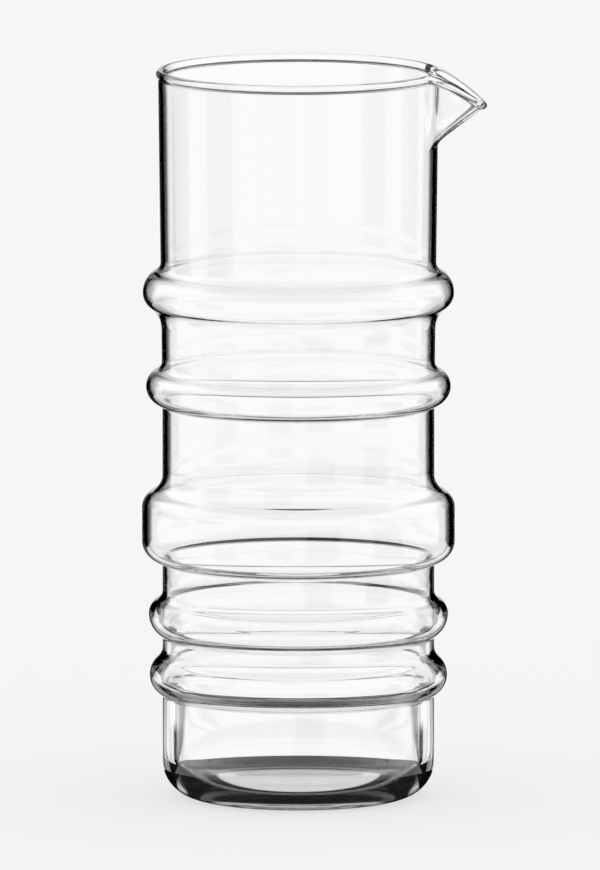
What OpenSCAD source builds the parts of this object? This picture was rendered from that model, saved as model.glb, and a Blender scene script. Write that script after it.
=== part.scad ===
// Water carafe: one mouth-blown vessel of clear glass, with four raised rings, a wide band
// and a pouring spout that is pulled out of the lip while the glass is hot.
// It stands on z = 0 with its axis on +Z, and the spout points along +X. Sizes are in millimetres.
// The glass is divided into zones that meet face to face, from the base up to the lip. Each zone
// is one form of the mould: a plain wall, or the underside or the top of a swell in that wall.

/* [Plain wall] */
// Outer diameter of the plain wall, below the flare
body_d = 93; // [86:0.5:110]
// How far the wall has opened outwards, on the radius, where it meets the lip
mouth_flare = 1.4; // [0:0.1:4]

/* [Base] */
// Thickness of the glass floor
floor_t = 4.5; // [4:0.5:14]
// Radius of the outer corner of the base
base_corner_r = 12.5; // [6:0.5:16]
// Radius of the inner corner, between floor and wall
floor_corner_r = 9.5; // [4:0.5:14]
// Diameter of the shallow hollow under the base
push_up_d = 46; // [20:1:52]
// Depth of the hollow under the base
push_up_depth = 1.2; // [0.4:0.1:3]

/* [Foot] */
// Height of the plain wall above the base
foot_h = 20.5; // [6:0.1:30]
// Wall thickness of the foot
foot_wall = 4.4; // [2.5:0.1:6]

/* [Bottom ring] */
// How far the ring stands out from the plain wall
bottom_ring_reach = 4.4; // [2:0.1:7]
// Radius of the round below the ring's crest
bottom_ring_low_round = 7.4; // [5:0.1:12]
// Radius of the crease under the ring
bottom_ring_low_fillet = 1; // [0.8:0.1:5]
// Radius of the round above the ring's crest
bottom_ring_high_round = 8; // [5:0.1:12]
// Radius of the hollow above the ring
bottom_ring_high_fillet = 5; // [0.8:0.1:6]
// Wall thickness at the ring's crest
bottom_ring_wall = 3.4; // [2:0.1:5]

/* [Ring groove] */
// Height of the plain wall between the two low rings
ring_groove_h = 3; // [1:0.1:12]
// Wall thickness between the two low rings
ring_groove_wall = 2.8; // [1.5:0.1:4.5]

/* [Lower ring] */
// How far the ring stands out from the plain wall
lower_ring_reach = 4.7; // [2:0.1:7]
// Radius of the round below the ring's crest
lower_ring_low_round = 8.8; // [5:0.1:12]
// Radius of the crease under the ring
lower_ring_low_fillet = 1; // [0.8:0.1:5]
// Radius of the round above the ring's crest
lower_ring_high_round = 5.6; // [5:0.1:12]
// Radius of the hollow above the ring
lower_ring_high_fillet = 3.4; // [0.8:0.1:6]
// Wall thickness at the ring's crest
lower_ring_wall = 2.6; // [1.2:0.1:4]

/* [Band groove] */
// Height of the plain wall between the lower ring and the band
band_groove_h = 9.3; // [2:0.1:20]
// Wall thickness between the lower ring and the band
band_groove_wall = 1.7; // [1.2:0.1:4]

/* [Band] */
// How far the band stands out from the plain wall
band_reach = 7; // [3:0.1:10]
// Height of the band's upright face
band_face_h = 11.3; // [4:0.1:30]
// Radius of the band's lower edge
band_low_round = 7; // [4:0.1:10]
// Radius of the crease under the band
band_low_fillet = 1; // [1:0.1:4]
// Radius of the band's upper edge
band_high_round = 6.4; // [3:0.1:8]
// Radius of the hollow above the band
band_high_fillet = 6.4; // [1:0.1:8]
// Wall thickness of the band's upright face
band_wall = 1.6; // [1.2:0.1:2.8]

/* [Waist] */
// Height of the plain wall between the band and the middle ring
waist_h = 23.2; // [10:0.1:60]
// Wall thickness of the waist
waist_wall = 1.5; // [1.2:0.1:4]

/* [Middle ring] */
// How far the ring stands out from the plain wall
middle_ring_reach = 5.5; // [2:0.1:7]
// Radius of the round below the ring's crest
middle_ring_low_round = 6.4; // [5:0.1:12]
// Radius of the crease under the ring
middle_ring_low_fillet = 1; // [0.8:0.1:5]
// Radius of the round above the ring's crest
middle_ring_high_round = 6.2; // [5:0.1:12]
// Radius of the hollow above the ring
middle_ring_high_fillet = 3.3; // [0.8:0.1:6]
// Wall thickness at the ring's crest
middle_ring_wall = 1.1; // [1:0.1:3]

/* [Collar] */
// Height of the plain wall between the middle and upper rings
collar_h = 11.2; // [4:0.1:30]
// Wall thickness of the collar
collar_wall = 1.3; // [1.2:0.1:4]

/* [Upper ring] */
// How far the ring stands out from the plain wall
upper_ring_reach = 6.2; // [2:0.1:8]
// Radius of the round below the ring's crest
upper_ring_low_round = 5.9; // [5:0.1:12]
// Radius of the hollow under the ring
upper_ring_low_fillet = 9.5; // [0.8:0.1:12]
// Radius of the round above the ring's crest
upper_ring_high_round = 8.8; // [5:0.1:12]
// Radius of the hollow above the ring
upper_ring_high_fillet = 3.1; // [0.8:0.1:6]
// Wall thickness at the ring's crest
upper_ring_wall = 0.9; // [0.8:0.1:3]

/* [Neck] */
// Height of the plain wall between the upper ring and the lip
neck_h = 62.6; // [40:0.1:100]
// Wall thickness of the neck
neck_wall = 1.4; // [1.2:0.1:3]

/* [Lip] */
// Thickness of the round, fire-polished bead
lip_bead_d = 2.9; // [2:0.1:5]
// How far the bead stands out from the neck
lip_reach = 0.7; // [0.2:0.1:1.5]
// Radius of the hollow under the bead
lip_fillet = 1.8; // [1:0.1:4]

/* [Spout] */
// How far below the neck's top the spout starts
spout_drop = 22.9; // [16:0.1:32]
// Half of the angle of the lip that the spout takes up, in degrees
spout_half_angle = 24; // [10:0.5:30]
// How far the middle of the spout's lip is drawn outwards
spout_reach = 15.9; // [6:0.1:20]
// How far the middle of the spout's lip is drawn down
spout_fall = 10.4; // [2:0.1:14]
// Radius of the fold at the root of the spout
spout_fold_r = 4.5; // [3:0.1:8]
// How sharply the spout narrows towards its middle
spout_pinch = 3; // [2:0.5:8]

/* [Hidden] */
$fn = 128;
glass_colour = [0.86, 0.92, 0.91, 0.35];
// Straight steps in each arc of an outline
arc_steps = 10;
// Straight steps up the spout's folded wall, and across it from side to side
spout_rise_steps = 12;
spout_side_steps = 32;
// How much later the spout's lip falls than it leaves the rim: at 1 it goes straight down to the tip
spout_fall_delay = 1.25;
// How far a cutting shape runs past what it cuts
overrun = 1;

body_r = body_d / 2;
bead_r = lip_bead_d / 2;

// Heights of the joints between the zones, from the base up
foot_z = max(base_corner_r, floor_t + floor_corner_r);
bottom_ring_z = foot_z + foot_h;
bottom_ring_crest_z = bottom_ring_z
    + rise_h(bottom_ring_reach, bottom_ring_low_fillet, bottom_ring_low_round);
ring_groove_z = bottom_ring_crest_z
    + rise_h(bottom_ring_reach, bottom_ring_high_fillet, bottom_ring_high_round);
lower_ring_z = ring_groove_z + ring_groove_h;
lower_ring_crest_z = lower_ring_z
    + rise_h(lower_ring_reach, lower_ring_low_fillet, lower_ring_low_round);
band_groove_z = lower_ring_crest_z
    + rise_h(lower_ring_reach, lower_ring_high_fillet, lower_ring_high_round);
band_z = band_groove_z + band_groove_h;
band_face_z = band_z + rise_h(band_reach, band_low_fillet, band_low_round);
band_shoulder_z = band_face_z + band_face_h;
waist_z = band_shoulder_z + rise_h(band_reach, band_high_fillet, band_high_round);
middle_ring_z = waist_z + waist_h;
middle_ring_crest_z = middle_ring_z
    + rise_h(middle_ring_reach, middle_ring_low_fillet, middle_ring_low_round);
collar_z = middle_ring_crest_z
    + rise_h(middle_ring_reach, middle_ring_high_fillet, middle_ring_high_round);
upper_ring_z = collar_z + collar_h;
upper_ring_crest_z = upper_ring_z
    + rise_h(upper_ring_reach, upper_ring_low_fillet, upper_ring_low_round);
neck_z = upper_ring_crest_z
    + rise_h(upper_ring_reach, upper_ring_high_fillet, upper_ring_high_round);
lip_z = neck_z + neck_h;

// The base: the radius of its inner corner's foot, where the heel starts, and how far round
// the outer corner that lies
inner_r = body_r - foot_wall;
heel_r = inner_r - floor_corner_r;
heel_angle = asin(max(0, heel_r - body_r + base_corner_r) / base_corner_r);

// The lip: how far its bead stands in past the neck's inner face, and the height of its middle
mouth_r = body_r + mouth_flare;
lip_inner_reach = lip_bead_d - lip_reach - neck_wall;
lip_outer_rise = rise_h(lip_reach, lip_fillet, bead_r);
lip_inner_rise = rise_h(abs(lip_inner_reach), lip_fillet, bead_r);
bead_z = lip_z + max(lip_outer_rise, lip_inner_rise);
bead_middle_r = mouth_r + lip_reach - bead_r;
rim_z = bead_z + bead_r;

// The spout: where its fold starts, the middle of the wall there, and the glass up to the bead
spout_z = lip_z - spout_drop;
spout_wall_r = body_r + flare_at(spout_z) - neck_wall / 2;
spout_length = bead_z - spout_z;

echo(rim_z = rim_z, widest = 2 * (body_r + band_reach));

// How far the wall has opened outwards at height z: nothing below the middle ring, all of it at the lip
function flare_at(z) =
    mouth_flare * min(1, max(0, (z - middle_ring_z) / (lip_z - middle_ring_z)));

// A rise takes the wall outwards by reach, through a hollow arc (fillet) and then a round one
// (round) that turn by the same angle. Past a square turn, a level stretch makes up the reach.
function rise_turn(reach, radii) = acos(max(0, 1 - reach / radii));
function rise_h(reach, fillet, round) =
    (fillet + round) * sin(rise_turn(reach, fillet + round));

// Points of a rise as [out, up, tilt]: the way out from the wall, the height above the rise's
// foot, and how far the surface has turned to face downwards
function rise(reach, fillet, round) =
    let (
        turn = rise_turn(reach, fillet + round),
        h = rise_h(reach, fillet, round),
        first = reach > fillet + round ? 0 : 1
    )
    concat(
        [for (i = [0 : arc_steps]) let (a = turn * i / arc_steps)
            [fillet * (1 - cos(a)), fillet * sin(a), a]],
        [for (i = [first : arc_steps]) let (a = turn * (1 - i / arc_steps))
            [reach - round * (1 - cos(a)), h - round * sin(a), a]]
    );

// One point of the outer face and the point of the inner face behind it, square to the surface.
// The wall thins or thickens from the plain wall to the crest.
function faced(out, z, tilt, reach, wall, crest_wall) =
    let (
        t = wall + (crest_wall - wall) * out / reach,
        inner_z = z - t * sin(tilt)
    )
    [
        [body_r + out + flare_at(z), z],
        [body_r + out - t * cos(tilt) + flare_at(inner_z), inner_z]
    ];

// The underside of a swell, from the plain wall at z up to the crest
function underside(z, reach, fillet, round, wall, crest_wall) =
    [for (p = rise(reach, fillet, round)) faced(p[0], z + p[1], -p[2], reach, wall, crest_wall)];

// The top of a swell, from the crest at z up to the plain wall: the same kind of rise turned over
function topside(z, reach, fillet, round, wall, crest_wall) =
    let (
        points = rise(reach, fillet, round),
        top = z + rise_h(reach, fillet, round)
    )
    [for (i = [len(points) - 1 : -1 : 0]) let (p = points[i])
        faced(p[0], top - p[1], p[2], reach, wall, crest_wall)];

// The closed outline of a wall: up its outer face and back down its inner face
function wall_outline(faces) =
    concat(
        [for (f = faces) f[0]],
        [for (i = [len(faces) - 1 : -1 : 0]) faces[i][1]]
    );

// The lip's outline from its outer foot, over the bead, to its inner foot
function lip_outline() =
    let (
        outer = rise(lip_reach, lip_fillet, bead_r),
        inner = rise(abs(lip_inner_reach), lip_fillet, bead_r),
        inner_sign = sign(lip_inner_reach),
        inner_top = len(inner) - 2,
        inner_foot = lip_inner_rise < lip_outer_rise ? [[mouth_r - neck_wall, lip_z]] : []
    )
    concat(
        lip_outer_rise < lip_inner_rise ? [[mouth_r, lip_z]] : [],
        [for (p = outer) [mouth_r + p[0], bead_z - lip_outer_rise + p[1]]],
        [for (i = [1 : 2 * arc_steps]) let (a = 180 * i / (2 * arc_steps))
            [bead_middle_r + bead_r * cos(a), bead_z + bead_r * sin(a)]],
        [for (i = [inner_top : -1 : 0]) let (p = inner[i])
            [mouth_r - neck_wall - inner_sign * p[0], bead_z - lip_inner_rise + p[1]]],
        inner_foot
    );

// The spout's outline before it is folded: the top of the neck's wall with the lip on it
function spout_outline() =
    let (
        heights = [for (i = [0 : spout_rise_steps - 1])
            spout_z + spout_drop * pow(i / spout_rise_steps, 2)]
    )
    concat(
        [for (z = heights) [body_r + flare_at(z), z]],
        lip_outline(),
        [for (i = [spout_rise_steps - 1 : -1 : 0]) let (z = heights[i])
            [body_r + flare_at(z) - neck_wall, z]]
    );

// How much of the draw the spout has at an angle from its middle: all of it there, none at its sides
function spout_share(angle) = pow(cos(90 * angle / spout_half_angle), spout_pinch);

// The fold that carries the bead to its drawn place, as [turn, length]: the angle that the wall
// turns outwards, round an arc of the fold's radius, and the length of the arc and the straight after it
function spout_fold(share) =
    let (
        out = spout_reach * share - spout_fold_r,
        up = spout_length - spout_fall * pow(share, spout_fall_delay),
        straight = sqrt(pow(out, 2) + pow(up, 2) - pow(spout_fold_r, 2)),
        turn = atan2(out, up) + atan2(spout_fold_r, straight)
    )
    [turn, spout_fold_r * turn * PI / 180 + straight];

// A point of the spout's outline [r, z] after the fold
function folded(p, fold) =
    let (
        turn = fold[0],
        along = (p[1] - spout_z) * fold[1] / spout_length,
        across = p[0] - spout_wall_r,
        a = min(turn, along / spout_fold_r * 180 / PI),
        straight = max(0, along - spout_fold_r * turn * PI / 180)
    )
    [
        spout_wall_r + spout_fold_r * (1 - cos(a)) + straight * sin(turn) + across * cos(a),
        spout_z + spout_fold_r * sin(a) + straight * cos(turn) - across * sin(a)
    ];

// A solid turned from an outline, in the colour of the glass
module turned(outline) {
    color(glass_colour) rotate_extrude() polygon(outline);
}

// A plain stretch of wall, or the upright face of a swell that stands out from it
module plain_wall(z, h, wall, out = 0) {
    turned(wall_outline([for (level = [z, z + h])
        let (r = body_r + out + flare_at(level))
        [[r, level], [r - wall, level]]]));
}

// The wedge of the lip and neck that the spout takes the place of
module spout_gap() {
    reach = mouth_r + lip_bead_d + overrun;
    side = reach / cos(spout_half_angle);
    translate([0, 0, spout_z])
        linear_extrude(rim_z - spout_z + overrun)
            polygon([
                [0, 0],
                [side * cos(spout_half_angle), -side * sin(spout_half_angle)],
                [side * cos(spout_half_angle), side * sin(spout_half_angle)]
            ]);
}

// A stretch of the base's outer corner, between two angles round it
function base_corner(from, to) =
    [for (i = [0 : arc_steps]) let (a = from + (to - from) * i / arc_steps)
        [body_r - base_corner_r * (1 - sin(a)), base_corner_r * (1 - cos(a))]];

// The floor, standing on a flat ring round a shallow hollow
module base() {
    push_up_r = push_up_d / 2;
    dome_r = (pow(push_up_r, 2) + pow(push_up_depth, 2)) / (2 * push_up_depth);
    dome_angle = asin(push_up_r / dome_r);
    turned(concat(
        [for (i = [0 : arc_steps]) let (a = dome_angle * i / arc_steps)
            [dome_r * sin(a), push_up_depth - dome_r * (1 - cos(a))]],
        heel_angle > 0 ? base_corner(0, heel_angle) : [[heel_r, 0]],
        [[heel_r, floor_t], [0, floor_t]]
    ));
}

// The turn from the floor up into the wall, rounded inside and out
module heel() {
    turned(concat(
        heel_angle > 0 ? [] : [[heel_r, 0]],
        base_corner(heel_angle, 90),
        foot_z > base_corner_r ? [[body_r, foot_z]] : [],
        foot_z > floor_t + floor_corner_r ? [[inner_r, foot_z]] : [],
        [for (i = [0 : arc_steps]) let (a = 90 * i / arc_steps)
            [inner_r - floor_corner_r * (1 - cos(a)), floor_t + floor_corner_r * (1 - sin(a))]]
    ));
}

module foot() {
    plain_wall(foot_z, foot_h, foot_wall);
}

module bottom_ring_under() {
    turned(wall_outline(underside(bottom_ring_z, bottom_ring_reach,
        bottom_ring_low_fillet, bottom_ring_low_round, foot_wall, bottom_ring_wall)));
}

module bottom_ring_over() {
    turned(wall_outline(topside(bottom_ring_crest_z, bottom_ring_reach,
        bottom_ring_high_fillet, bottom_ring_high_round, ring_groove_wall, bottom_ring_wall)));
}

module ring_groove() {
    plain_wall(ring_groove_z, ring_groove_h, ring_groove_wall);
}

module lower_ring_under() {
    turned(wall_outline(underside(lower_ring_z, lower_ring_reach,
        lower_ring_low_fillet, lower_ring_low_round, ring_groove_wall, lower_ring_wall)));
}

module lower_ring_over() {
    turned(wall_outline(topside(lower_ring_crest_z, lower_ring_reach,
        lower_ring_high_fillet, lower_ring_high_round, band_groove_wall, lower_ring_wall)));
}

module band_groove() {
    plain_wall(band_groove_z, band_groove_h, band_groove_wall);
}

module band_under() {
    turned(wall_outline(underside(band_z, band_reach,
        band_low_fillet, band_low_round, band_groove_wall, band_wall)));
}

module band_face() {
    plain_wall(band_face_z, band_face_h, band_wall, band_reach);
}

module band_shoulder() {
    turned(wall_outline(topside(band_shoulder_z, band_reach,
        band_high_fillet, band_high_round, waist_wall, band_wall)));
}

module waist() {
    plain_wall(waist_z, waist_h, waist_wall);
}

module middle_ring_under() {
    turned(wall_outline(underside(middle_ring_z, middle_ring_reach,
        middle_ring_low_fillet, middle_ring_low_round, waist_wall, middle_ring_wall)));
}

module middle_ring_over() {
    turned(wall_outline(topside(middle_ring_crest_z, middle_ring_reach,
        middle_ring_high_fillet, middle_ring_high_round, collar_wall, middle_ring_wall)));
}

module collar() {
    plain_wall(collar_z, collar_h, collar_wall);
}

module upper_ring_under() {
    turned(wall_outline(underside(upper_ring_z, upper_ring_reach,
        upper_ring_low_fillet, upper_ring_low_round, collar_wall, upper_ring_wall)));
}

module upper_ring_over() {
    turned(wall_outline(topside(upper_ring_crest_z, upper_ring_reach,
        upper_ring_high_fillet, upper_ring_high_round, neck_wall, upper_ring_wall)));
}

module neck() {
    difference() {
        plain_wall(neck_z, neck_h, neck_wall);
        spout_gap();
    }
}

module lip() {
    difference() {
        turned(lip_outline());
        spout_gap();
    }
}

// The spout is the same wall and lip, drawn out most in the middle and not at all at its sides
module spout() {
    outline = spout_outline();
    n = len(outline);
    angles = [for (i = [0 : spout_side_steps])
        spout_half_angle * (2 * i / spout_side_steps - 1)];
    points = [for (angle = angles)
        let (fold = spout_fold(spout_share(angle)))
        for (p = outline)
            let (q = folded(p, fold))
            [q[0] * cos(angle), q[0] * sin(angle), q[1]]];
    sides = [for (i = [0 : spout_side_steps - 1], j = [0 : n - 1], half = [0, 1])
        let (k = (j + 1) % n, here = i * n, there = here + n)
        half == 0
            ? [here + j, there + k, here + k]
            : [here + j, there + j, there + k]];
    first_end = [for (j = [0 : n - 1]) j];
    last_end = [for (j = [n - 1 : -1 : 0]) spout_side_steps * n + j];
    color(glass_colour) polyhedron(points, concat(sides, [first_end, last_end]));
}

base();
heel();
foot();
bottom_ring_under();
bottom_ring_over();
ring_groove();
lower_ring_under();
lower_ring_over();
band_groove();
band_under();
band_face();
band_shoulder();
waist();
middle_ring_under();
middle_ring_over();
collar();
upper_ring_under();
upper_ring_over();
neck();
lip();
spout();
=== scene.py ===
# %% [markdown]
# # A blown-glass water carafe
# This lesson dresses a finished CAD part in Blender. The part is a handle-less carafe of clear glass, blown
# in a mould: four raised rings, one wide band, a thick base, and a spout pulled out of the hot lip.
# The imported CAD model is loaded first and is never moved. Every size below comes from it, or repeats one of
# the sizes that it was built from.

# %% Load the CAD model as a fixed frame
import math

import bpy
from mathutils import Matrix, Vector


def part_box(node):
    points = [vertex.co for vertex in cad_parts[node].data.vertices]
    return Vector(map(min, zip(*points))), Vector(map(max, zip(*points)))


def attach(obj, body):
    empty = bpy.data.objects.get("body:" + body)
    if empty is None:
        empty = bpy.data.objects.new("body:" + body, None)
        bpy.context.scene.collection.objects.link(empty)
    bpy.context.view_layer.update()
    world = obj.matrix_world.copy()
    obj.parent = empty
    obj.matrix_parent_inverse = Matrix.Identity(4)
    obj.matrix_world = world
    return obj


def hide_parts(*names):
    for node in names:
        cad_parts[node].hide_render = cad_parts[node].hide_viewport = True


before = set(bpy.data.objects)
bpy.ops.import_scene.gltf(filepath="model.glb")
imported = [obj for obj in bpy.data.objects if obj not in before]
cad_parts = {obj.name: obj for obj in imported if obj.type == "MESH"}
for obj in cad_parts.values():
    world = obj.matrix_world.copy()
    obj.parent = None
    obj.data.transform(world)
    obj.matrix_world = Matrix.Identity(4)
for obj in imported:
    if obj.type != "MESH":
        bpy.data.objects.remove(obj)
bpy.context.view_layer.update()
MM = 0.001

# %% [markdown]
# ## What the wall does on its way up
# The mould gave the real wall its form: plain stretches, and swells that leave the wall through a hollow arc,
# turn over a round one, and come back the same way. It could be drawn by eye as a curve, but it would then
# stray from the CAD model. That model has one node for each plain stretch and two or three for each swell, so
# their boxes say where a zone starts and ends. The arcs inside a zone repeat the CAD sizes.

# %% Sizes of the wall, in millimetres
def low_z(node):
    """Height at which a node of the CAD model starts, in millimetres."""
    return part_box(node)[0].z / MM


def high_z(node):
    """Height at which a node of the CAD model ends, in millimetres."""
    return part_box(node)[1].z / MM


body_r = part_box("waist")[1].y / MM
mouth_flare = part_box("neck")[1].y / MM - body_r
flare_start = low_z("middle_ring_under")
flare_end = high_z("neck")

# Thickness of the wall on each plain stretch
plain_walls = {"foot": 4.4, "ring_groove": 2.8, "band_groove": 1.7, "waist": 1.5, "collar": 1.3, "neck": 1.4}

# Each swell: how far it stands out, the hollow and round arcs below its crest, its upright face, the hollow
# and round arcs above, and the wall at its crest
swells = {
    "bottom_ring": {"reach": 4.4, "low": (1, 7.4), "face": 0, "high": (5, 8), "wall": 3.4},
    "lower_ring": {"reach": 4.7, "low": (1, 8.8), "face": 0, "high": (3.4, 5.6), "wall": 2.6},
    "band": {"reach": 7, "low": (1, 7), "face": 11.3, "high": (6.4, 6.4), "wall": 1.6},
    "middle_ring": {"reach": 5.5, "low": (1, 6.4), "face": 0, "high": (3.3, 6.2), "wall": 1.1},
    "upper_ring": {"reach": 6.2, "low": (9.5, 5.9), "face": 0, "high": (3.1, 8.8), "wall": 0.9},
}
zones = ["foot", "bottom_ring", "ring_groove", "lower_ring", "band_groove", "band",
         "waist", "middle_ring", "collar", "upper_ring", "neck"]
print("plain wall radius", round(body_r, 2), "flare", round(mouth_flare, 2), "zones", len(zones))

# %% Arcs of a swell
ARC_STEP = math.radians(6)


def rise_turn(reach, radii):
    """The angle that both arcs of a rise turn through."""
    return math.acos(1 - reach / radii)


def rise_height(reach, hollow, rounding):
    """Height of a rise."""
    return (hollow + rounding) * math.sin(rise_turn(reach, hollow + rounding))


def rise(reach, hollow, rounding):
    """Points of a rise as (out, up, tilt): a hollow arc and then a round one, from the wall to the crest."""
    turn = rise_turn(reach, hollow + rounding)
    height = rise_height(reach, hollow, rounding)
    steps = math.ceil(turn / ARC_STEP)
    angles = [turn * i / steps for i in range(steps + 1)]
    first = [(hollow * (1 - math.cos(a)), hollow * math.sin(a), a) for a in angles]
    second = [(reach - rounding * (1 - math.cos(a)), height - rounding * math.sin(a), a)
              for a in reversed(angles)]
    return first + second[1:]


band_low = rise(swells["band"]["reach"], *swells["band"]["low"])
print("rise of the band:", round(band_low[-1][1], 2), "mm high in", len(band_low), "points")

# %% The two faces of the wall, side by side
ROW_STEP = 3.2


def flare_at(z):
    """How far the wall has opened at a height: not at all below the middle ring, and fully at the lip."""
    return mouth_flare * min(1, max(0, (z - flare_start) / (flare_end - flare_start)))


def faced(out, z, tilt, reach, wall, crest_wall):
    """A point of the outer face, and the one of the inner face behind it, square to the surface."""
    thickness = wall + (crest_wall - wall) * out / reach
    inner_z = z - thickness * math.sin(tilt)
    inner_r = body_r + out - thickness * math.cos(tilt) + flare_at(inner_z)
    return (body_r + out + flare_at(z), z), (inner_r, inner_z)


def even_levels(low, high):
    """Heights of even rows, from a low height to a high one."""
    rows = math.ceil((high - low) / ROW_STEP)
    return [low + (high - low) * i / rows for i in range(rows + 1)]


def plain_faces(node, levels):
    """Rows of a plain stretch of wall at the given heights."""
    wall = plain_walls[node]
    return [((body_r + flare_at(z), z), (body_r + flare_at(z) - wall, z)) for z in levels]


def swell_faces(node):
    """Rows of a swell, between the plain walls below and above it."""
    swell = swells[node]
    reach, crest_wall = swell["reach"], swell["wall"]
    place = zones.index(node)
    wall_below, wall_above = plain_walls[zones[place - 1]], plain_walls[zones[place + 1]]
    low, high = low_z(node + "_under"), high_z(node + ("_shoulder" if swell["face"] else "_over"))
    below = [faced(out, low + up, -tilt, reach, wall_below, crest_wall)
             for out, up, tilt in rise(reach, *swell["low"])]
    above = [faced(out, high - up, tilt, reach, wall_above, crest_wall)
             for out, up, tilt in reversed(rise(reach, *swell["high"]))]
    if not swell["face"]:
        return below + above[1:]
    rows = math.ceil(swell["face"] / ROW_STEP)
    foot_of_face = low + rise_height(reach, *swell["low"])
    upright = [faced(reach, foot_of_face + swell["face"] * i / rows, 0, reach, wall_below, crest_wall)
               for i in range(1, rows)]
    return below + upright + above


print("rows of each swell:", {node: len(swell_faces(node)) for node in swells})

# %% [markdown]
# ## The lip and the spout
# The rim is fire-polished: heat draws it into a round bead a little thicker than the wall. While it is soft,
# the maker pulls one short stretch outwards and down. The bead could be a torus joined to the wall, but that
# would leave an edge where the real one flows. So it is part of the wall's own line, with a hollow arc on
# both sides, and the neck has closer rows of points where the spout will fold.

# %% Sizes of the lip, in millimetres
neck_wall = plain_walls["neck"]
bead_r = 1.45
lip_reach = 0.7
lip_hollow = 1.8
lip_inner_reach = 2 * bead_r - lip_reach - neck_wall
lip_z = high_z("neck")
mouth_r = body_r + mouth_flare
bead_z = lip_z + max(rise_height(reach, lip_hollow, bead_r) for reach in (lip_reach, lip_inner_reach))
quarter_steps = math.ceil(math.pi / 2 / ARC_STEP)


def lip_outline():
    """The lip from its outer foot, over the bead, to its inner foot."""
    outer = [(mouth_r + out, up) for out, up, _ in rise(lip_reach, lip_hollow, bead_r)]
    inner = [(mouth_r - neck_wall - out, up) for out, up, _ in rise(lip_inner_reach, lip_hollow, bead_r)]
    outer = [(r, bead_z - outer[-1][1] + up) for r, up in outer]
    inner = [(r, bead_z - inner[-1][1] + up) for r, up in inner]
    middle_r = mouth_r + lip_reach - bead_r
    # The bead is small, so its half circle has only as many steps as a quarter turn elsewhere
    turns = [math.pi * i / quarter_steps for i in range(1, quarter_steps)]
    bead = [(middle_r + bead_r * math.cos(a), bead_z + bead_r * math.sin(a)) for a in turns]
    return outer + bead + inner[::-1]


print("bead at", round(bead_z, 2), "rim at", round(bead_z + bead_r, 2), "points", len(lip_outline()))

# %% Sizes of the spout, in millimetres
spout_drop = 22.9
spout_half_angle = math.radians(24)
spout_reach = 15.9
spout_fall = 10.4
spout_fold_r = 4.5
# Two powers: a higher one makes the fall come later on the way to the tip, or the spout narrower
spout_fall_delay = 1.25
spout_pinch = 3
spout_rows = 12
spout_z = lip_z - spout_drop
spout_length = bead_z - spout_z
spout_wall_r = body_r + flare_at(spout_z) - neck_wall / 2


def neck_levels(low, high):
    """Heights of the neck's rows: even up to the spout, and then closest at the spout's fold."""
    closer = [spout_z + (high - spout_z) * (i / spout_rows) ** 2 for i in range(spout_rows + 1)]
    return even_levels(low, spout_z)[:-1] + closer


print("spout starts at", round(spout_z, 2), "and its wall is", round(spout_length, 2), "long")

# %% [markdown]
# ## One line for the whole vessel
# The carafe is a single gather of glass, so it is made as a single closed mesh. Separate zones would show
# their joints, because light bends at every face it meets. The line starts under the base on the axis, runs
# up the outside, over the lip, down the inside, and ends on the axis again at the floor.

# %% The base
floor_t = 4.5
base_corner_r = 12.5
floor_corner_r = 9.5
push_up_r = 23
push_up_depth = 1.2
dome_steps = 8
quarter_turn = [math.pi / 2 * i / quarter_steps for i in range(quarter_steps + 1)]


def base_outer():
    """Under the base: a shallow dome, the flat ring that the carafe stands on, and the rounded corner."""
    dome_r = (push_up_r ** 2 + push_up_depth ** 2) / (2 * push_up_depth)
    dome_angle = math.asin(push_up_r / dome_r)
    bends = [dome_angle * i / dome_steps for i in range(dome_steps + 1)]
    dome = [(dome_r * math.sin(a), push_up_depth - dome_r * (1 - math.cos(a))) for a in bends]
    corner = [(body_r - base_corner_r * (1 - math.sin(a)), base_corner_r * (1 - math.cos(a)))
              for a in quarter_turn]
    return dome + corner


def base_inner():
    """Inside the base: the rounded corner, then the floor to the axis."""
    inner_r = body_r - plain_walls["foot"]
    corner = [(inner_r - floor_corner_r * (1 - math.cos(a)), floor_t + floor_corner_r * (1 - math.sin(a)))
              for a in quarter_turn]
    flat_r = inner_r - floor_corner_r
    rows = math.ceil(flat_r / ROW_STEP)
    flat = [(flat_r * (1 - i / rows), floor_t) for i in range(1, rows + 1)]
    return corner + flat


print("points under the base:", len(base_outer()), "and inside it:", len(base_inner()))

# %% The whole line
faces = []
for zone in zones:
    if zone in swells:
        rows = swell_faces(zone)
    else:
        levels = neck_levels if zone == "neck" else even_levels
        rows = plain_faces(zone, levels(low_z(zone), high_z(zone)))
    faces += rows[1:] if faces else rows
outer_line = base_outer() + [outer for outer, _ in faces]
lip_line = lip_outline()[1:-1]
inner_line = [inner for _, inner in reversed(faces)] + base_inner()[1:]
glass_line = outer_line + lip_line + inner_line
print("points in the line:", len(outer_line), "+", len(lip_line), "+", len(inner_line))

# %% [markdown]
# ## From a line to a vessel
# By hand this is one vertex, extruded along the line, and then spun round the axis. A Screw modifier could
# turn it too, but only in even steps. Spinning 312 degrees in coarse steps and the last 48 in fine ones puts
# extra columns where the spout needs them. Merging doubles closes the seam and both poles, and only then can
# Blender tell the outside from the inside.

# %% Draw the line and spin it
COARSE_STEPS = 104
FINE_STEPS = 36
MERGE_GAP = 0.01


def on_start_plane(point):
    """A point of the line, in metres, on the plane at the spout's first side."""
    r, z = point
    return Vector((r * math.cos(spout_half_angle), -r * math.sin(spout_half_angle), z)) * MM


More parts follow.
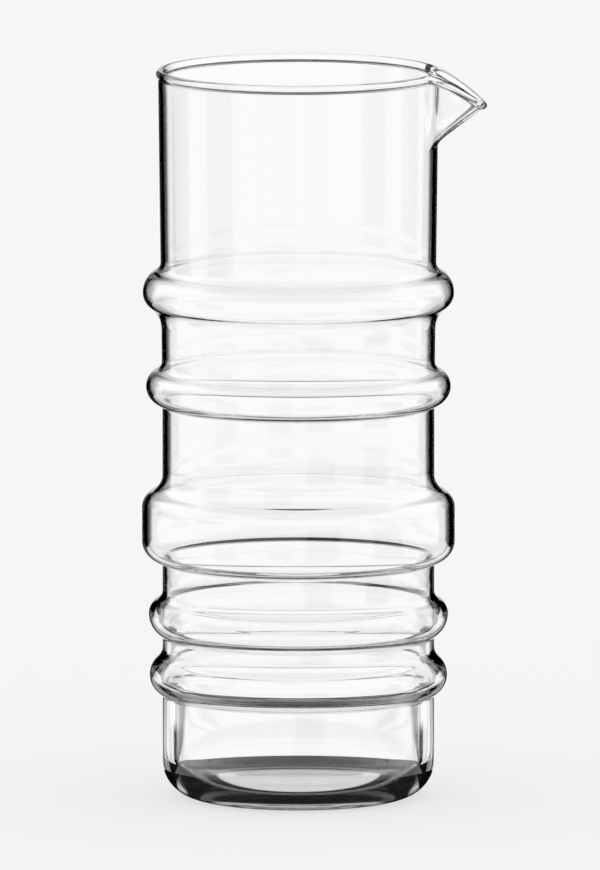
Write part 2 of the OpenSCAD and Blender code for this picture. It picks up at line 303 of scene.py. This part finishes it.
bpy.ops.object.select_all(action="DESELECT")
bpy.ops.mesh.primitive_plane_add(size=MM, location=(0, 0, 0))
carafe = bpy.context.object
carafe.name = "carafe_glass"
bpy.ops.object.mode_set(mode="EDIT")
bpy.ops.mesh.merge(type="CENTER")
bpy.ops.transform.translate(value=on_start_plane(glass_line[0]))
for here, there in zip(glass_line, glass_line[1:]):
    step = on_start_plane(there) - on_start_plane(here)
    bpy.ops.mesh.extrude_vertices_move(TRANSFORM_OT_translate={"value": step})
bpy.ops.mesh.select_all(action="SELECT")
around = {"center": (0, 0, 0), "axis": (0, 0, 1)}
bpy.ops.mesh.spin(steps=COARSE_STEPS, angle=2 * math.pi - 2 * spout_half_angle, **around)
bpy.ops.mesh.spin(steps=FINE_STEPS, angle=2 * spout_half_angle, **around)
bpy.ops.mesh.select_all(action="SELECT")
bpy.ops.mesh.remove_doubles(threshold=MERGE_GAP * MM)
bpy.ops.mesh.normals_make_consistent(inside=False)
bpy.ops.object.mode_set(mode="OBJECT")
print("carafe:", len(carafe.data.vertices), "vertices,", len(carafe.data.polygons), "faces")

# %% [markdown]
# ## Pulling the spout
# The real spout is the same wall, bent over while it was hot. Proportional editing could pull it by hand, but
# not to a known shape, and it would thin the wall. So each column of points within the spout's half angle is
# folded by a formula: it turns outwards round a small arc and then runs straight to the drawn bead. The share
# of the pull is 1 in the middle of the spout and falls to 0 at its sides.

# %% Pull the spout
def spout_fold(share):
    """The turn of the fold, and the length of wall from its root to the drawn bead."""
    out = spout_reach * share - spout_fold_r
    up = spout_length - spout_fall * share ** spout_fall_delay
    straight = math.sqrt(out ** 2 + up ** 2 - spout_fold_r ** 2)
    turn = math.atan2(out, up) + math.atan2(spout_fold_r, straight)
    return turn, spout_fold_r * turn + straight


def folded(r, z, share):
    """Where a point of the plain wall goes when the spout is pulled."""
    turn, length = spout_fold(share)
    run = (z - spout_z) * length / spout_length
    across = r - spout_wall_r
    angle = min(turn, run / spout_fold_r)
    straight = max(0, run - spout_fold_r * turn)
    fold_out = spout_fold_r * (1 - math.cos(angle))
    fold_up = spout_fold_r * math.sin(angle)
    pulled_r = spout_wall_r + fold_out + straight * math.sin(turn) + across * math.cos(angle)
    pulled_z = spout_z + fold_up + straight * math.cos(turn) - across * math.sin(angle)
    return pulled_r, pulled_z


pulled = 0
for vertex in carafe.data.vertices:
    x, y, z = vertex.co / MM
    angle = math.atan2(y, x)
    if z < spout_z or abs(angle) >= spout_half_angle:
        continue
    share = math.cos(math.pi / 2 * angle / spout_half_angle) ** spout_pinch
    r, z = folded(math.hypot(x, y), z, share)
    vertex.co = Vector((r * math.cos(angle), r * math.sin(angle), z)) * MM
    pulled += 1
bpy.ops.object.shade_smooth()
print("vertices pulled into the spout:", pulled)

# %% [markdown]
# ## Into the frame
# The real carafe is one rigid piece of glass and nothing on it moves, so the mesh rides the root body. The
# CAD nodes could be shown as they are, but their joints would show as lines inside the glass. So the one mesh
# stands for all of them.

# %% Put the vessel in the frame
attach(carafe, "root")
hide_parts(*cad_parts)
print("the vessel stands for", len(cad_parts), "CAD nodes")

# %% [markdown]
# ## Clear soda-lime glass, mouth-blown
# Blown glass is smooth and colourless to the eye. What shows is not a colour but bent light, and dark lines
# where the wall is seen edge-on. A plain glass shader bends the light, but its lines go pale where nothing
# dark lies beside the carafe. So the glass here also has painted shade: its colour turns nearly black where
# it is seen nearly edge-on.

# %% Helpers for colours and nodes
def linear(hex_colour):
    """An sRGB hex colour as linear red, green, blue and alpha, by the formula that defines sRGB."""
    parts = [int(hex_colour[i:i + 2], 16) / 255 for i in (1, 3, 5)]
    return [p / 12.92 if p <= 0.04045 else ((p + 0.055) / 1.055) ** 2.4 for p in parts] + [1]


def add_node(tree, kind, inputs=(), **settings):
    """Adds one node with its settings. An input is a plain value, or a node or output socket to link from."""
    node = tree.nodes.new("ShaderNode" + kind)
    for name, value in settings.items():
        setattr(node, name, value)
    for socket, value in dict(inputs).items():
        if isinstance(value, bpy.types.Node):
            value = next(output for output in value.outputs if output.enabled)
        if isinstance(value, bpy.types.NodeSocket):
            tree.links.new(value, node.inputs[socket])
        else:
            node.inputs[socket].default_value = value
    return node


def new_material(name):
    """A material that has no nodes yet."""
    material = bpy.data.materials.new(name)
    material.use_nodes = True
    material.node_tree.nodes.clear()
    return material


SMOOTH = {"interpolation_type": "SMOOTHSTEP"}
print("mid grey #808080 is", round(linear("#808080")[0], 3), "in linear light")

# %% The glass
# Fire-polished soda-lime glass has no grain and no haze: it gives sharp, bent light. Its dark edges are
# painted shade in its colour.
GLASS_IOR = 1.52
CLEAR = linear("#FDFEFE")
# Painted shade: the nearly black colour that the glass takes on where it is seen edge-on
EDGE_PAINTED_SHADE = linear("#050707")
# Facing is 0 where the glass is seen square on and 1 where it is edge-on
EDGE_START, EDGE_FULL = 0.72, 0.90

glass = new_material("clear_soda_lime_glass_mouth_blown")
tree = glass.node_tree
facing = add_node(tree, "LayerWeight").outputs["Facing"]
painted_shade_share = add_node(tree, "MapRange", {
    "Value": facing,
    "From Min": EDGE_START,
    "From Max": EDGE_FULL,
}, **SMOOTH)
# Painted shade: the glass's colour darkens towards black as it turns edge-on
clear_or_painted_shade = add_node(tree, "Mix", {"Factor": painted_shade_share, "A": CLEAR, "B": EDGE_PAINTED_SHADE}, data_type="RGBA")
shader = add_node(tree, "BsdfPrincipled", {
    "Base Color": clear_or_painted_shade,
    "Roughness": 0,
    "IOR": GLASS_IOR,
    "Transmission Weight": 1,
})
add_node(tree, "OutputMaterial", {"Surface": shader})
carafe.data.materials.clear()
carafe.data.materials.append(glass)
print("glass:", glass.name, "with IOR", GLASS_IOR)

# %% [markdown]
# ## A bright-field stage
# Clear glass has no colour to show, so its surroundings draw it. A photographer puts a pale ground straight
# behind it and a black card at each side of that ground. Light that comes straight through is pale. The edges
# of the wall bend it sideways onto the cards, so they draw themselves as black lines. A dark flag above the
# ground and a dark ceiling do the same for the rim and the rings, and the shadow under the heel does it for
# the base.
# Cards made as meshes would be seen by the camera and shade the floor. So they are levels of light here, in
# the world and on the floor, and only rays that have met the glass see them. To the camera both are plain
# and pale.

# %% Levels of light, and the angles of the cards
PALE = linear("#F6F6F6")
WHITE = linear("#FFFFFF")
BLACK = linear("#000000")
# Levels of light, of which 1 is white
GROUND_LEVEL = 0.98
CARD_LEVEL = 0.01
BOX_LEVEL = 1
# Direction of the ground from the axis, in degrees from +X
GROUND = 92
# Degrees from the ground's middle: half the ground, and the far end of the card beside it, past which the
# light comes from lit boxes
GROUND_HALF, GROUND_SOFT = 9, 2
CARD_END, CARD_END_SOFT = 41, 2
print("cards from", GROUND_HALF, "to", CARD_END, "degrees beside the ground at", GROUND)

# %% Helpers for angles and soft edges
RIGHT_ANGLE = 90


def compass(angle):
    """A level direction at an angle in degrees from +X."""
    return math.cos(math.radians(angle)), math.sin(math.radians(angle)), 0


def away_from(tree, place, ground, beside):
    """The angle in degrees between a place and a ground, seen from a distance beside the axis."""
    ahead, across = [add_node(tree, "VectorMath", {0: place, 1: compass(angle)}, operation="DOT_PRODUCT")
                     for angle in (ground, ground + RIGHT_ANGLE)]
    across = add_node(tree, "Math", {0: across}, operation="ABSOLUTE")
    across = add_node(tree, "Math", {0: across, 1: beside}, operation="SUBTRACT")
    across = add_node(tree, "Math", {0: across, 1: 0}, operation="MAXIMUM")
    away = add_node(tree, "Math", {0: across, 1: ahead}, operation="ARCTAN2")
    return add_node(tree, "Math", {0: away}, operation="DEGREES")


def between(tree, value, start, end, soft):
    """A share that is 1 between a start and an end, with soft edges."""
    past_start, before_end = [
        add_node(tree, "MapRange", {"Value": value, "From Min": none_at, "From Max": all_at}, **SMOOTH)
        for none_at, all_at in ((start - soft, start + soft), (end + soft, end - soft))
    ]
    return add_node(tree, "Math", {0: past_start, 1: before_end}, operation="MULTIPLY")


print("the ground lies towards", [round(x, 3) for x in compass(GROUND)])

# %% Helpers for cards and kinds of rays
# Other sides that the carafe is seen against: the direction of each, in degrees from +X, and the stretch of
# floor behind the carafe, in metres from the axis, that has cards
OTHER_GROUNDS = {180: (1.2, 4), 315: (0.2, 0.95)}
# Their cards end sooner, in degrees, and are weaker, so that they don't stripe the neck
OTHER_CARD_END = 34
OTHER_CARD_SHARE = 0.65
# How soft the ends of such a stretch are, and the floor's radius, in metres
OTHER_SOFT = 0.05
FLOOR_R = 3


def other_boxes(tree, place, beside, distance=None):
    """The level of the lit boxes, less the other sides' cards. The sky has only those that pass the floor."""
    level = BOX_LEVEL
    for ground, (start, end) in OTHER_GROUNDS.items():
        if distance is None and end < FLOOR_R:
            continue
        away = away_from(tree, place, ground, beside)
        card = between(tree, away, GROUND_HALF, OTHER_CARD_END, CARD_END_SOFT)
        card = add_node(tree, "Math", {0: card, 1: OTHER_CARD_SHARE}, operation="MULTIPLY")
        if distance is not None:
            stretch = between(tree, distance, start, end, OTHER_SOFT)
            card = add_node(tree, "Math", {0: card, 1: stretch}, operation="MULTIPLY")
        lit = add_node(tree, "Math", {0: 1, 1: card}, operation="SUBTRACT")
        level = add_node(tree, "Math", {0: level, 1: lit}, operation="MULTIPLY")
    return level


def surroundings(tree, away, card_end, box_level):
    """The level of light at an angle from the ground: the ground, then a card, then the lit boxes."""
    ground = add_node(tree, "MapRange", {
        "Value": away,
        "From Min": GROUND_HALF + GROUND_SOFT,
        "From Max": GROUND_HALF - GROUND_SOFT,
    }, **SMOOTH)
    past_card = add_node(tree, "Math", {0: away, 1: card_end}, operation="SUBTRACT")
    past_card = add_node(tree, "MapRange", {
        "Value": past_card,
        "From Min": -CARD_END_SOFT,
        "From Max": CARD_END_SOFT,
    }, **SMOOTH)
    boxes = add_node(tree, "Math", {0: past_card, 1: box_level}, operation="MULTIPLY")
    return add_node(tree, "Math", {0: ground, 1: GROUND_LEVEL, 2: boxes}, operation="MULTIPLY_ADD")


def ray_kinds(tree):
    """Two sockets that give 1 for the camera's own rays, and for rays that glass has bent or mirrored."""
    path = add_node(tree, "LightPath").outputs
    bent = {0: path["Is Transmission Ray"], 1: path["Is Glossy Ray"]}
    return path["Is Camera Ray"], add_node(tree, "Math", bent, operation="MAXIMUM")


print("other sides with cards, in degrees:", list(OTHER_GROUNDS))

# %% World: the edges of the cards, the flag and the ceiling
# Degrees above the horizon: where the cards end, where the flag over the ground ends, and where the dark
# ceiling starts
CARD_TOP, CARD_TOP_SOFT = 14, 5
FLAG_TOP, FLAG_TOP_SOFT = 46, 4
CEILING, CEILING_SOFT = 52, 6
# Half the flag, in degrees from the ground's middle
FLAG_HALF, FLAG_SOFT = 30, 6


def sky_height(elevation):
    """Height of a direction at an elevation in degrees, on a sky of radius 1."""
    return math.sin(math.radians(elevation))


world = bpy.data.worlds.new("studio")
world.use_nodes = True
bpy.context.scene.world = world
tree = world.node_tree
tree.nodes.clear()
sky = add_node(tree, "TexCoord").outputs["Generated"]
height = add_node(tree, "SeparateXYZ", {0: sky}).outputs["Z"]
away = away_from(tree, sky, GROUND, 0)
above_cards = add_node(tree, "MapRange", {
    "Value": height,
    "From Min": sky_height(CARD_TOP - CARD_TOP_SOFT),
    "From Max": sky_height(CARD_TOP + CARD_TOP_SOFT),
}, **SMOOTH)
over_ground = add_node(tree, "MapRange", {
    "Value": away,
    "From Min": FLAG_HALF + FLAG_SOFT,
    "From Max": FLAG_HALF - FLAG_SOFT,
}, **SMOOTH)
below_top = add_node(tree, "MapRange", {
    "Value": height,
    "From Min": sky_height(FLAG_TOP + FLAG_TOP_SOFT),
    "From Max": sky_height(FLAG_TOP - FLAG_TOP_SOFT),
}, **SMOOTH)
flag = add_node(tree, "Math", {0: over_ground, 1: below_top}, operation="MULTIPLY")
overhead = add_node(tree, "MapRange", {
    "Value": height,
    "From Min": sky_height(CEILING - CEILING_SOFT),
    "From Max": sky_height(CEILING + CEILING_SOFT),
}, **SMOOTH)
print("cards up to", CARD_TOP, "degrees, flag up to", FLAG_TOP, "and ceiling from", CEILING)

# %% World: a level of light for each kind of ray
STUDIO_LEVEL = 1
TOP_LEVEL = 1.1
CEILING_LEVEL = 0.15

camera_ray, bent_ray = ray_kinds(tree)
above = add_node(tree, "Mix", {"Factor": flag, "A": TOP_LEVEL, "B": CARD_LEVEL})
level = surroundings(tree, away, CARD_END, other_boxes(tree, sky, 0))
level = add_node(tree, "Mix", {"Factor": above_cards, "A": level, "B": above})
level = add_node(tree, "Mix", {"Factor": overhead, "A": level, "B": CEILING_LEVEL})
level = add_node(tree, "Mix", {"Factor": bent_ray, "A": STUDIO_LEVEL, "B": level})
level = add_node(tree, "Mix", {"Factor": camera_ray, "A": level, "B": PALE[0]})
background = add_node(tree, "Background", {"Color": WHITE, "Strength": level})
add_node(tree, "OutputWorld", {"Surface": background})
print("world:", len(tree.nodes), "nodes")

# %% Floor
FLOOR_CORNERS = 128
bpy.ops.object.select_all(action="DESELECT")
bpy.ops.mesh.primitive_circle_add(
    vertices=FLOOR_CORNERS,
    radius=FLOOR_R,
    fill_type="NGON",
    location=(0, 0, 0),
)
floor = bpy.context.object
floor.name = "floor"
print("floor: a disc of", FLOOR_R, "m")

# %% Cards and boxes on the floor, for rays that have met the glass
# Distances from the axis, in metres: where angles on the floor are measured from, just past the wall, where
# the cards change their width, and where the side cards end
BESIDE = 0.055
NEAR_R, MIDDLE_R, FAR_R = 0.15, 0.5, 0.68
SIDE_CARD_R, SIDE_CARD_R_SOFT = 0.2, 0.02
# Degrees from the ground's middle: the card ends sooner near the carafe, and a side card lies close to the
# carafe's foot
NEAR_CARD_END, MIDDLE_CARD_END = 16, 28
SIDE_CARD_START, SIDE_CARD_END = 38, 64

paper = new_material("matt_white_paper")
tree = paper.node_tree
place = add_node(tree, "TexCoord").outputs["Object"]
distance = add_node(tree, "VectorMath", {0: place}, operation="LENGTH")
away = away_from(tree, place, GROUND, BESIDE)
side_card = between(tree, away, SIDE_CARD_START, SIDE_CARD_END, CARD_END_SOFT)
close_by = add_node(tree, "MapRange", {
    "Value": distance,
    "From Min": SIDE_CARD_R + SIDE_CARD_R_SOFT,
    "From Max": SIDE_CARD_R - SIDE_CARD_R_SOFT,
}, **SMOOTH)
side_card = add_node(tree, "Math", {0: side_card, 1: close_by}, operation="MULTIPLY")
beside_card = add_node(tree, "Math", {0: 1, 1: side_card}, operation="SUBTRACT")
boxes = other_boxes(tree, place, BESIDE, distance)
boxes = add_node(tree, "Math", {0: boxes, 1: beside_card}, operation="MULTIPLY")
card_end = add_node(tree, "MapRange", {
    "Value": distance,
    "From Min": NEAR_R,
    "From Max": MIDDLE_R,
    "To Min": NEAR_CARD_END,
    "To Max": MIDDLE_CARD_END,
})
far_off = add_node(tree, "MapRange", {"Value": distance, "From Min": MIDDLE_R, "From Max": FAR_R}, **SMOOTH)
widening = {0: far_off, 1: CARD_END - MIDDLE_CARD_END, 2: card_end}
card_end = add_node(tree, "Math", widening, operation="MULTIPLY_ADD")
floor_level = surroundings(tree, away, card_end, boxes)
print("cards on the floor end", NEAR_CARD_END, "degrees off nearby and", CARD_END, "degrees off far away")

# %% The contact shadow under the rounded heel
# Distances from the axis, in metres. For mirrored rays the shadow reaches further, or the wall would mirror
# the lit floor in front of it.
CONTACT_IN, CONTACT_OUT, CONTACT_SOFT = 0.0285, 0.038, 0.0008
MIRRORED_OUT = 0.07
UNDER_LEVEL = 0.93

under_heel = add_node(tree, "MapRange", {
    "Value": distance,
    "From Min": CONTACT_IN - CONTACT_SOFT,
    "From Max": CONTACT_IN + CONTACT_SOFT,
}, **SMOOTH)
mirrored = add_node(tree, "LightPath").outputs["Is Glossy Ray"]
spread = {0: mirrored, 1: MIRRORED_OUT - CONTACT_OUT, 2: CONTACT_OUT}
contact_out = add_node(tree, "Math", spread, operation="MULTIPLY_ADD")
past_heel = add_node(tree, "Math", {0: distance, 1: contact_out}, operation="SUBTRACT")
past_heel = add_node(tree, "MapRange", {
    "Value": past_heel,
    "From Min": -CONTACT_SOFT,
    "From Max": CONTACT_SOFT,
}, **SMOOTH)
level = add_node(tree, "Mix", {"Factor": under_heel, "A": UNDER_LEVEL, "B": CARD_LEVEL})
level = add_node(tree, "Mix", {"Factor": past_heel, "A": level, "B": floor_level})
print("contact shadow from", round(CONTACT_IN / MM, 1), "to", round(CONTACT_OUT / MM, 1), "mm")

# %% The floor as the camera sees it
# Matt white paper is even and pale, and keeps a soft shadow. Most of what the camera sees is a plain glow,
# and only the share below takes light, and with it the shadow.
SHADOW_SHARE = 0.25

camera_ray, bent_ray = ray_kinds(tree)
glow = add_node(tree, "Math", {0: level, 1: bent_ray}, operation="MULTIPLY")
plain = {0: camera_ray, 1: PALE[0] * (1 - SHADOW_SHARE), 2: glow}
glow = add_node(tree, "Math", plain, operation="MULTIPLY_ADD")
emission = add_node(tree, "Emission", {"Color": WHITE, "Strength": glow})
shadow_share = add_node(tree, "Math", {0: camera_ray, 1: SHADOW_SHARE}, operation="MULTIPLY")
matt = add_node(tree, "BsdfDiffuse", {"Color": PALE})
unlit = add_node(tree, "BsdfDiffuse", {"Color": BLACK})
shadowed = add_node(tree, "MixShader", {0: shadow_share, 1: unlit, 2: matt})
both = add_node(tree, "AddShader", {0: emission, 1: shadowed})
add_node(tree, "OutputMaterial", {"Surface": both})
paper.cycles.emission_sampling = "NONE"
floor.data.materials.append(paper)
print("floor material:", paper.name, "with", len(tree.nodes), "nodes")

# %% [markdown]
# ## Camera
# A long lens from far away keeps the sides of the carafe parallel, as the photograph does. It looks a little
# down, so the rim opens into a narrow ellipse, and the spout points to the right.

# %% Camera
# Pixels of the photograph: its size, how many of them make a metre, and where the carafe's origin lies
PHOTO_W, PHOTO_H = 600, 870
PX_PER_M = 2930
ORIGIN_PX = (298.4, 796)
VIEW_TURN = math.radians(2)
VIEW_TILT = math.radians(7.7)
# Focal length and sensor in millimetres, and how far the camera sees in metres
LENS = 1000
SENSOR = 36
SIGHT = 100

back = Vector((math.sin(VIEW_TURN) * math.cos(VIEW_TILT), -math.cos(VIEW_TURN) * math.cos(VIEW_TILT),
               math.sin(VIEW_TILT)))
right = Vector((math.cos(VIEW_TURN), math.sin(VIEW_TURN), 0))
aim = right * (PHOTO_W / 2 - ORIGIN_PX[0]) / PX_PER_M
aim.z = (ORIGIN_PX[1] - PHOTO_H / 2) / PX_PER_M / math.cos(VIEW_TILT)
camera_distance = PHOTO_H / PX_PER_M * LENS / SENSOR
lens = bpy.data.cameras.new("camera")
lens.lens = LENS
lens.sensor_width = SENSOR
lens.clip_end = SIGHT
camera = bpy.data.objects.new("camera", lens)
bpy.context.scene.collection.objects.link(camera)
camera.location = aim + back * camera_distance
camera.rotation_mode = "QUATERNION"
camera.rotation_quaternion = (-back).to_track_quat("-Z", "Y")
bpy.context.scene.camera = camera
print("camera at", [round(x, 3) for x in camera.location], "aims at", [round(x, 4) for x in aim])

# %% [markdown]
# ## Colours and bounces
# The Standard view shows colours as they are written. A ray that crosses the carafe meets four faces of
# glass, and more where it is mirrored inside a wall, so it needs more bounces than an opaque object would.
# Light focused by the glass onto the floor is left out, because it would only add grain.

# %% Colours and bounces
BOUNCES = 9
scene = bpy.context.scene
scene.view_settings.view_transform = "Standard"
scene.cycles.max_bounces = BOUNCES
scene.cycles.transmission_bounces = BOUNCES
scene.cycles.glossy_bounces = BOUNCES
scene.cycles.caustics_reflective = False
scene.cycles.caustics_refractive = False
print("bounces:", BOUNCES)
